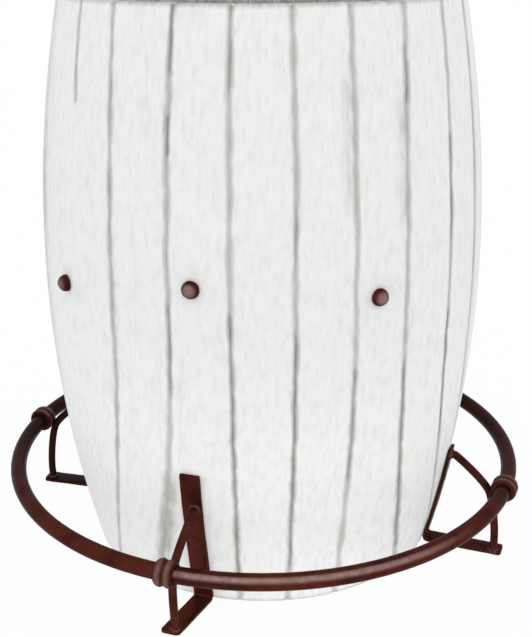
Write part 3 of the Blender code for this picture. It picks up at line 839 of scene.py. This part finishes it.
def makeRail():
    tree = makeRailTree()
    sides = list(brackets)
    gap = math.degrees(rail["endGap"] / rail["radius"])
    for index, side in enumerate(sides):
        following = sides[(index + 1) % len(sides)]
        start, end = brackets[side]["rod"], brackets[following]["rod"]
        end += 360 if end < start else 0
        values = {"Start": math.radians(start + gap - 90), "Sweep": math.radians(end - start - 2 * gap)}
        title, replaced = f"railTube{side.title()}", [f"rail_{side}_to_{following}"]
        finishPiece(title, grow(tree, values), iron, replaced, rail["sharp"])


makeRail()
print("rail made")

# Collars
collar = {
    "length": 0.030,
    "radius": 0.0215,
    "valley": 0.0193,
    "beadSpacing": 0.013,
    "lip": 0.0172,
    "lipEase": 0.0008,
    "fall": 0.8,
    "bore": 0.01395,
    "sides": 48,
    "steps": 36,
    "dents": 0.0005,
    "dentScale": 140.0,
    "highlight": 0.4,
}


def turnTo(azimuth):
    # local +X outwards, local +Y sideways round the barrel
    return Matrix.Rotation(math.radians(azimuth - 90), 4, "Z")


def sweepRings(name, rings, closed=False):
    # skin through rings of points; closed joins the last to the first, otherwise both ends are capped
    bm = bmesh.new()
    rows = [[bm.verts.new(point) for point in ring] for ring in rings]
    pairs = list(zip(rows, rows[1:] + rows[:1])) if closed else list(zip(rows, rows[1:]))
    for first, second in pairs:
        for index in range(len(first)):
            after = (index + 1) % len(first)
            bm.faces.new((first[index], first[after], second[after], second[index]))
    if not closed:
        bm.faces.new(rows[0][::-1])
        bm.faces.new(rows[-1])
    mesh = bpy.data.meshes.new(name)
    bm.to_mesh(mesh)
    bm.free()
    return mesh


def roughen(mesh, settings, seed):
    # small inward dents, so that a piece stays inside its solid
    for vert in mesh.vertices:
        place = vert.co * settings["dentScale"] + Vector((seed, seed * 2, 0))
        dent = noise.noise(place) * 0.5 + 0.5
        vert.co -= vert.normal * dent * settings["dents"]


def storeHighlight(mesh, shares):
    mesh.attributes.new("highlight", "FLOAT", "POINT").data.foreach_set("value", shares)


def collarRadius(place):
    # two rounded beads with a groove between them, falling to a thin lip at each end
    bead, half = collar["beadSpacing"] / 2, collar["length"] / 2
    away = abs(place)
    if away < bead:
        share = (1 - math.cos(math.pi * away / bead)) / 2
        return collar["valley"] + (collar["radius"] - collar["valley"]) * share
    fall = math.cos((away - bead) / (half - bead) * math.pi / 2) ** collar["fall"]
    return collar["lip"] + (collar["radius"] - collar["lip"]) * fall


def makeCollar(side, azimuth, seed):
    half, steps = collar["length"] / 2, collar["steps"]
    lip = collar["lip"] - collar["lipEase"]
    places = [-half + collar["length"] * step / steps for step in range(1, steps)]
    profile = [(-half, lip), *[(along, collarRadius(along)) for along in places], (half, lip)]
    profile += [(half, collar["bore"]), (-half, collar["bore"])]
    place = turnTo(azimuth) @ Matrix.Translation((rail["radius"], 0, rail["height"]))
    rings = []
    for index in range(collar["sides"]):
        angle = 2 * math.pi * index / collar["sides"]
        cosine, sine = math.cos(angle), math.sin(angle)
        rings.append([place @ Vector((radius * cosine, along, radius * sine)) for along, radius in profile])
    title = f"collar{side.title()}"
    mesh = sweepRings(title, rings, closed=True)
    # painted highlight on the ridges of the beads
    rise = collar["radius"] - collar["valley"]
    ridge = [max(radius - collar["valley"], 0) / rise for along, radius in profile]
    storeHighlight(mesh, [share * collar["highlight"] for share in ridge] * collar["sides"])
    roughen(mesh, collar, seed)
    finishPiece(title, mesh, iron, [f"rail_collar_{side}"])


for index, (side, values) in enumerate(brackets.items()):
    makeCollar(side, values["rod"], index + 1.0)
print("collars made")

# Brackets
bar = {
    "width": 0.032,
    "thickness": 0.006,
    "heelRadius": 0.009,
    "cornerRadius": 0.0013,
    "mostRound": 0.9,
    "endEase": 0.0008,
    "gap": 0.0003,
    "steps": 44,
    "heelSteps": 12,
    "footSteps": 22,
    "footCrowd": 1.6,
    "cornerSteps": 3,
    "tipRound": 0.006,
    "sharp": 50.0,
    "dents": 0.0007,
    "dentScale": 70.0,
}
rod = {
    "radius": 0.0064,
    "seatAngle": 205.0,
    "footLean": 0.10,
    "bow": 0.22,
    "leave": 3.0,
    "steps": 26,
    "sides": 20,
    "sharp": 50.0,
    "dents": 0.0002,
    "dentScale": 120.0,
}
weld = {"radius": 0.0092, "flat": 0.45, "lumps": 0.0018, "lumpScale": 2.2, "lowest": 0.0005, "highlight": 0.18}


def sectionPoints(halfWidth):
    # rounded section of the bar: aside, and away from its back face
    points = []
    radius = min(bar["cornerRadius"], halfWidth * bar["mostRound"])
    for cornerX, cornerY, start in ((1, 1, 0), (-1, 1, 90), (-1, -1, 180), (1, -1, 270)):
        middleX = cornerX * (halfWidth - radius)
        middleY = bar["thickness"] / 2 + cornerY * (bar["thickness"] / 2 - radius)
        for step in range(bar["cornerSteps"] + 1):
            angle = math.radians(start + 90 * step / bar["cornerSteps"])
            points.append((middleX + radius * math.cos(angle), middleY + radius * math.sin(angle)))
    return points


def barPath(values):
    # back face from top to tip: point out from the axis, way that the face looks, sideways shift
    top = values["barTop"]
    corner = Vector((outerRadius(0) + bar["gap"], 0))
    up = Vector((outerSlope(0), 1)).normalized()
    out = Vector((1, 0))
    turn = up.angle(out)
    reach = bar["heelRadius"] / math.tan(turn / 2)
    centre = corner + (up + out).normalized() * (bar["heelRadius"] / math.sin(turn / 2))
    low = (corner + up * reach).y
    path = []
    for step in range(bar["steps"]):
        height = top + (low - top) * step / bar["steps"]
        slope = Vector((1, -outerSlope(height))).normalized()
        path.append((Vector((outerRadius(height) + bar["gap"], height)), slope, 0.0))
    for step in range(bar["heelSteps"] + 1):
        angle = math.atan2(up.x, -up.y) + step / bar["heelSteps"] * (math.pi - turn)
        spoke = Vector((math.cos(angle), math.sin(angle)))
        path.append((centre + spoke * bar["heelRadius"], -spoke, 0.0))
    tip = rail["radius"] + values["tip"]
    for step in range(1, bar["footSteps"] + 1):
        share = 1 - (1 - step / bar["footSteps"]) ** bar["footCrowd"]
        place = centre.x + (tip - centre.x) * share
        aside = (place - centre.x) * math.tan(math.radians(values.get("footTurn", 0)))
        path.append((Vector((place, 0)), Vector((0, 1)), aside))
    return path


def makeBar(side, values, seed):
    # flat bar down the barrel and out along the floor, with a rounded tip
    path = barPath(values)
    tip = path[-1][0].x
    rings = []
    for index, (point, face, aside) in enumerate(path):
        half = bar["width"] / 2
        fromTip = tip - point.x
        if index > bar["steps"] + bar["heelSteps"] and fromTip < bar["tipRound"]:
            short = 1 - fromTip / bar["tipRound"]
            half -= bar["tipRound"] * (1 - math.sqrt(max(1 - short * short, 0.0)))
        if index in (0, len(path) - 1):
            half -= bar["endEase"]
        ring = []
        for across, away in sectionPoints(half):
            place = point + face * away
            ring.append(turnTo(values["bar"]) @ Vector((place.x, aside + across, place.y)))
        rings.append(ring)
    title = f"bar{side.title()}"
    mesh = sweepRings(title, rings)
    roughen(mesh, bar, seed)
    for vert in mesh.vertices:
        vert.co.z = max(vert.co.z, 0.0)
    finishPiece(title, mesh, iron, [f"bracket_bar_{side}"], bar["sharp"])


def bezierPoints(points, steps):
    start, first, second, end = points
    line = []
    for step in range(1, steps + 1):
        share = step / steps
        rest = 1 - share
        point = start * rest**3 + first * (3 * rest * rest * share)
        line.append(point + second * (3 * rest * share * share) + end * share**3)
    return line


def rodPath(values):
    # in a plane through the axis: out of the bar, under the collar, down onto the foot
    rodTop = values["rodTop"]
    outward = Vector((1, 0, -outerSlope(rodTop))).normalized()
    top = Vector((outerRadius(rodTop), values.get("topAside", 0), rodTop))
    top += outward * (bar["thickness"] + 2 * bar["gap"])
    angle = math.radians(rod["seatAngle"])
    away = Vector((math.cos(angle), 0, math.sin(angle)))
    seatDistance = collar["valley"] + rod["radius"] + 2 * bar["gap"]
    seat = Vector((rail["radius"], 0, rail["height"])) + away * seatDistance
    past = Vector((-away.z, 0, away.x))
    footOut = rail["radius"] + values["tip"] - values["rodInset"]
    foot = Vector((footOut, values.get("footAside", 0), bar["thickness"] + bar["gap"]))
    start = top + outward * rod["radius"]
    end = foot + Vector((0, 0, rod["radius"]))
    leave = (outward + (seat - start).normalized() * rod["leave"]).normalized()
    lean = Vector((rod["footLean"], 0, 1))
    upper = (seat - start).length * rod["bow"]
    lower = (seat - end).length * rod["bow"]
    line = [top, start]
    line += bezierPoints((start, start + leave * upper, seat - past * upper, seat), rod["steps"])
    line += bezierPoints((seat, seat + past * lower, end + lean * lower, end), rod["steps"])
    return line + [foot]


def makeRod(side, values, seed):
    # bowed round rod; returns its two ends
    line = rodPath(values)
    turned = turnTo(values["rod"])
    aside = Vector((0, 1, 0))
    rings = []
    for index, point in enumerate(line):
        before, after = line[max(index - 1, 0)], line[min(index + 1, len(line) - 1)]
        across = aside.cross((after - before).normalized())
        ring = []
        for step in range(rod["sides"]):
            angle = 2 * math.pi * step / rod["sides"]
            place = point + (aside * math.cos(angle) + across * math.sin(angle)) * rod["radius"]
            ring.append(turned @ place)
        rings.append(ring)
    title = f"rod{side.title()}"
    mesh = sweepRings(title, rings)
    roughen(mesh, rod, seed)
    finishPiece(title, mesh, iron, [f"bracket_rod_{side}"], rod["sharp"])
    return turned @ line[0], turned @ line[-1]


def makeWeld(name, place, outward, seed):
    # lumpy bead round the end of a rod
    bm = bmesh.new()
    bmesh.ops.create_icosphere(bm, subdivisions=4, radius=1)
    turn = outward.to_track_quat("Z", "Y").to_matrix()
    for vert in bm.verts:
        lump = noise.noise(vert.co * weld["lumpScale"] + Vector((seed, 0, 0)))
        shape = vert.co * (1 + lump * weld["lumps"] / weld["radius"])
        shape.z *= weld["flat"]
        vert.co = place + turn @ (shape * weld["radius"])
        vert.co.z = max(vert.co.z, weld["lowest"])
    mesh = bpy.data.meshes.new(name)
    bm.to_mesh(mesh)
    bm.free()
    # painted highlight over the whole weld
    storeHighlight(mesh, [weld["highlight"]] * len(mesh.vertices))
    finishPiece(name, mesh, iron)


for index, (side, values) in enumerate(brackets.items()):
    makeBar(side, values, index + 5.0)
    top, foot = makeRod(side, values, index + 9.0)
    outward = (turnTo(values["rod"]) @ Vector((1, 0, 0))).normalized()
    makeWeld(f"weldTop{side.title()}", top, outward, index * 3.0)
    makeWeld(f"weldFoot{side.title()}", foot, Vector((0, 0, 1)), index * 3.0 + 1)
print("brackets made")

# Domed nails and bracket screws
nails = {
    "radius": 0.0127,
    "rise": 0.0143,
    "rim": 0.0013,
    "lumps": 0.0013,
    "highlight": 0.8,
    "height": 0.510,
    # stave counted from the front one, rise above that height, turn in degrees
    "places": (
        (-4, -0.016, 3.1),
        (-1, 0.017, -1.5),
        (2, -0.002, -1.3),
        (7, 0.010, 0.6),
        (10, -0.008, -0.8),
        (13, 0.004, 1.1),
        (16, -0.012, 0.2),
        (18, 0.012, -0.5),
    ),
}
screws = {"radius": 0.0065, "rise": 0.0014, "rim": 0.0003, "lumps": 0.0002, "highlight": 0.0, "height": 0.125}
fasteners = {
    "labels": ("Radius", "Rise", "Rim", "Lumps", "Highlight"),
    "segments": 36,
    "rings": 24,
    "highlightFrom": 0.5,
    "lumpScale": 130.0,
    "lumpLevel": 0.7,
    "sharp": 60.0,
}


def makeFastenerTree():
    # a domed head on each point, looking along the point's outward vector, hammered after it is placed
    maker, given = newTree("fastenerTree", fasteners["labels"])
    inputs = {"Segments": fasteners["segments"], "Rings": fasteners["rings"], "Radius": 1.0}
    ball = maker.add("GeometryNodeMeshUVSphere", None, inputs)
    x, y, z = maker.split(maker.add("GeometryNodeInputPosition"))
    # painted highlight on the crown of each dome
    ball = storeAll(maker, ball, {"highlight": maker.fade(z, fasteners["highlightFrom"], 1.0) * given["Highlight"]})
    upper = maker.math("MAXIMUM", z, 0) * (given["Rise"] - given["Rim"]) + given["Rim"]
    lower = maker.math("MAXIMUM", z, -0.5) * 2 * given["Rim"] + given["Rim"]
    isUpper = maker.math("GREATER_THAN", z, -0.001)
    rise = lower + (upper - lower) * isUpper
    shape = maker.vector(x * given["Radius"], y * given["Radius"], rise)
    head = moveTo(maker, ball, shape)
    settings = {"data_type": "FLOAT_VECTOR"}
    outward = maker.add("GeometryNodeInputNamedAttribute", settings, {"Name": "outward"})
    turn = maker.add("FunctionNodeAlignRotationToVector", {"axis": "Z"}, {"Vector": outward})
    inputs = {"Points": given["Geometry"], "Instance": head, "Rotation": turn}
    heads = maker.add("GeometryNodeInstanceOnPoints", None, inputs)
    heads = maker.add("GeometryNodeRealizeInstances", None, {"Geometry": heads})
    lump = maker.cloud(maker.add("GeometryNodeInputPosition"), fasteners["lumpScale"], 1.0)
    lump = (lump - fasteners["lumpLevel"]) * given["Lumps"]
    endTree(maker, pushOut(maker, heads, lump), iron)
    return maker.tree


def seedPoints(name, places):
    mesh = bpy.data.meshes.new(name)
    mesh.from_pydata([point for point, outward in places], [], [])
    layer = mesh.attributes.new("outward", "FLOAT_VECTOR", "POINT")
    layer.data.foreach_set("vector", [value for point, outward in places for value in outward])
    return mesh


def skinPlace(azimuth, height, lift):
    slope = Vector((1, 0, -outerSlope(height))).normalized()
    point = Vector((outerRadius(height), 0, height)) + slope * lift
    return turnTo(azimuth) @ point, turnTo(azimuth) @ slope


def makeFasteners():
    tree = makeFastenerTree()
    layout = staveLayout()
    nailPlaces = []
    for stave, rise, turn in nails["places"]:
        azimuth = layout[stave % len(layout)][0] + turn
        nailPlaces.append(skinPlace(azimuth, nails["height"] + rise, bar["gap"]))
    nailNodes = [f"stave_nail_{index + 1}" for index in range(len(nailPlaces))]
    lift = bar["gap"] + bar["thickness"] - bar["dents"]
    screwPlaces = [skinPlace(values["bar"], screws["height"], lift) for values in brackets.values()]
    screwNodes = [f"bracket_screw_{side}" for side in brackets]
    groups = (
        ("domedNails", nails, nailPlaces, nailNodes),
        ("bracketScrews", screws, screwPlaces, screwNodes),
    )
    for title, sizes, places, replaced in groups:
        values = {label: sizes[label.lower()] for label in fasteners["labels"]}
        mesh = grow(tree, values, seedPoints(f"{title}Points", places))
        finishPiece(title, mesh, iron, replaced, fasteners["sharp"])


makeFasteners()
print("fasteners made")

# Floor, light and background
studio = {
    "floorSize": 80.0,
    "floorColour": (0.95, 0.95, 0.95),
    "floorGlow": 0.95,
    "ambient": 0.955,
}
# The low lamp lights the foot of the barrel, which the floor and the rail keep dark
lamps = {
    "strip": {
        "power": 3.5,
        "place": (-0.2, -2.15, 2.6),
        "size": (1.6, 0.2),
        "target": (0, 0, 0.40),
        "spread": 180.0,
        "shadow": True,
    },
    "low": {
        "power": 0.44,
        "place": (0.0, -1.0, 0.04),
        "size": (1.3, 0.05),
        "target": (0, -0.3, 0.02),
        "spread": 70.0,
        "shadow": False,
    },
}


def seenDirectly(maker):
    # 1 for what the camera sees, straight or in a shiny or clear surface
    kinds = ("Is Camera Ray", "Is Glossy Ray", "Is Transmission Ray")
    rays = [maker.add("ShaderNodeLightPath", None, None, kind) for kind in kinds]
    return maker.math("MINIMUM", rays[0] + rays[1] + rays[2], 1.0)


def addFloor(settings):
    material, maker, shader = newMaterial("floorPaper")
    maker.tree.nodes.remove(shader)
    diffuse = maker.add("ShaderNodeBsdfDiffuse", None, {"Color": (*settings["floorColour"], 1)})
    glow = maker.add("ShaderNodeEmission", None, {"Color": (1, 1, 1, 1), "Strength": 1.0})
    share = seenDirectly(maker) * settings["floorGlow"]
    mixed = maker.add("ShaderNodeMixShader", None, {0: share, 1: diffuse, 2: glow})
    wireTo(maker.tree.nodes["Material Output"], "Surface", mixed)
    half = settings["floorSize"] / 2
    corners = [(x * half, y * half, 0) for x, y in ((-1, -1), (1, -1), (1, 1), (-1, 1))]
    mesh = bpy.data.meshes.new("floorPaper")
    mesh.from_pydata(corners, [], [(0, 1, 2, 3)])
    mesh.materials.append(material)
    floor = bpy.data.objects.new("floorPaper", mesh)
    addToScene(floor)


def addWorld(settings):
    world = bpy.data.worlds.new("studioWorld")
    world.use_nodes = True
    background = world.node_tree.nodes["Background"]
    background.inputs["Color"].default_value = (1, 1, 1, 1)
    seen = seenDirectly(Maker(world.node_tree))
    wireTo(background, "Strength", seen * (1 - settings["ambient"]) + settings["ambient"])
    bpy.context.scene.world = world


def addLamp(name, settings):
    data = bpy.data.lights.new(f"{name}Lamp", "AREA")
    data.shape = "RECTANGLE"
    data.energy = settings["power"]
    data.size, data.size_y = settings["size"]
    data.spread = math.radians(settings["spread"])
    data.use_shadow = settings["shadow"]
    lamp = bpy.data.objects.new(f"{name}Lamp", data)
    place = Vector(settings["place"])
    lamp.location = place
    lamp.rotation_euler = (Vector(settings["target"]) - place).to_track_quat("-Z", "Y").to_euler()
    lamp.visible_glossy = settings["shadow"]
    addToScene(lamp)


addFloor(studio)
addWorld(studio)
for name, settings in lamps.items():
    addLamp(name, settings)
print("studio set")
